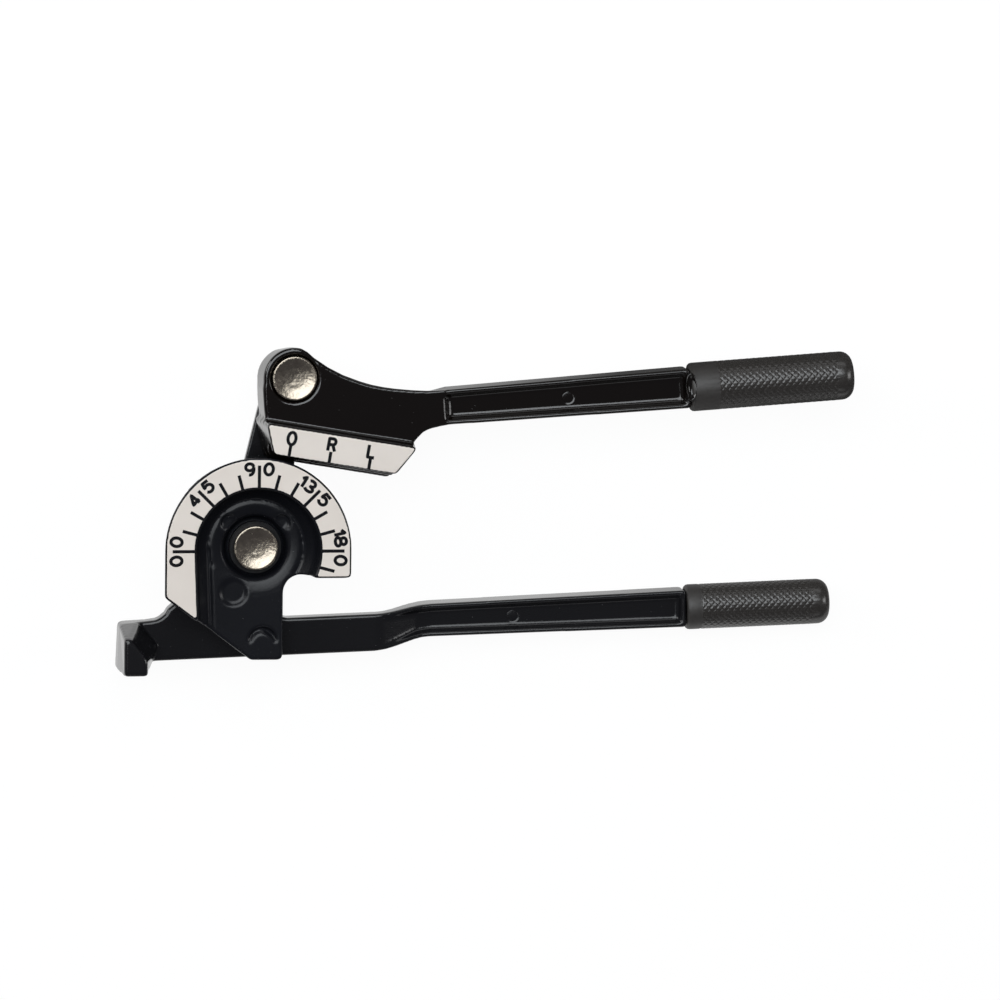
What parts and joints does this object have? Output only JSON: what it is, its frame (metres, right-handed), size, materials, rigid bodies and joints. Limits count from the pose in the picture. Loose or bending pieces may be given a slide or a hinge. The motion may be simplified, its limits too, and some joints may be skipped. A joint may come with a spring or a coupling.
{
  "type": "tube bender",
  "caption": "Lever tube bender with a stepped grooved form, degree ring, tube hook, link arm and two long gripped handles that swing together to bend a tube.",
  "frame": {"origin": "on the form's pivot axis, at the back face of the lower pin's riveted tail", "axes": "+X along the handles towards the grips, +Y across to the upper handle, +Z along the pivot axes towards the scale face"},
  "size_m": [0.34, 0.1509, 0.0532],
  "materials": {
    "enamel": "gloss black enamel on die-cast metal",
    "steel": "bright nickel plated steel",
    "washer": "black oxide steel",
    "bush": "plain bearing bronze",
    "grip": "moulded black plastic with a fine diamond knurl"
  },
  "bodies": {
    "root": {"lower_handle": "enamel", "bend_form": "enamel", "form_rivet_top": "steel", "form_rivet_bottom": "steel", "lower_pivot_pin": "steel", "lower_head_washer": "washer", "lower_thrust_washer": "washer", "lower_tail_washer": "steel", "lower_grip": "grip"},
    "link": {"link_arm": "enamel", "link_bush": "bush", "upper_pivot_pin": "steel", "upper_thrust_washer": "washer", "upper_tail_washer": "steel"},
    "handle": {"upper_handle": "enamel", "head_bush": "bush", "upper_grip": "grip"}
  },
  "joints": [
    {"name": "link_swing", "type": "hinge", "parent": "root", "child": "link", "pos_m": [0, 0, 0.0057], "axis": [0, 0, 1], "range_deg": [-80.7, 99.3]},
    {"name": "handle_swing", "type": "hinge", "parent": "link", "child": "handle", "pos_m": [0.01718, 0.07813, 0.0175], "axis": [0, 0, 1], "range_deg": [0, 150]}
  ]
}
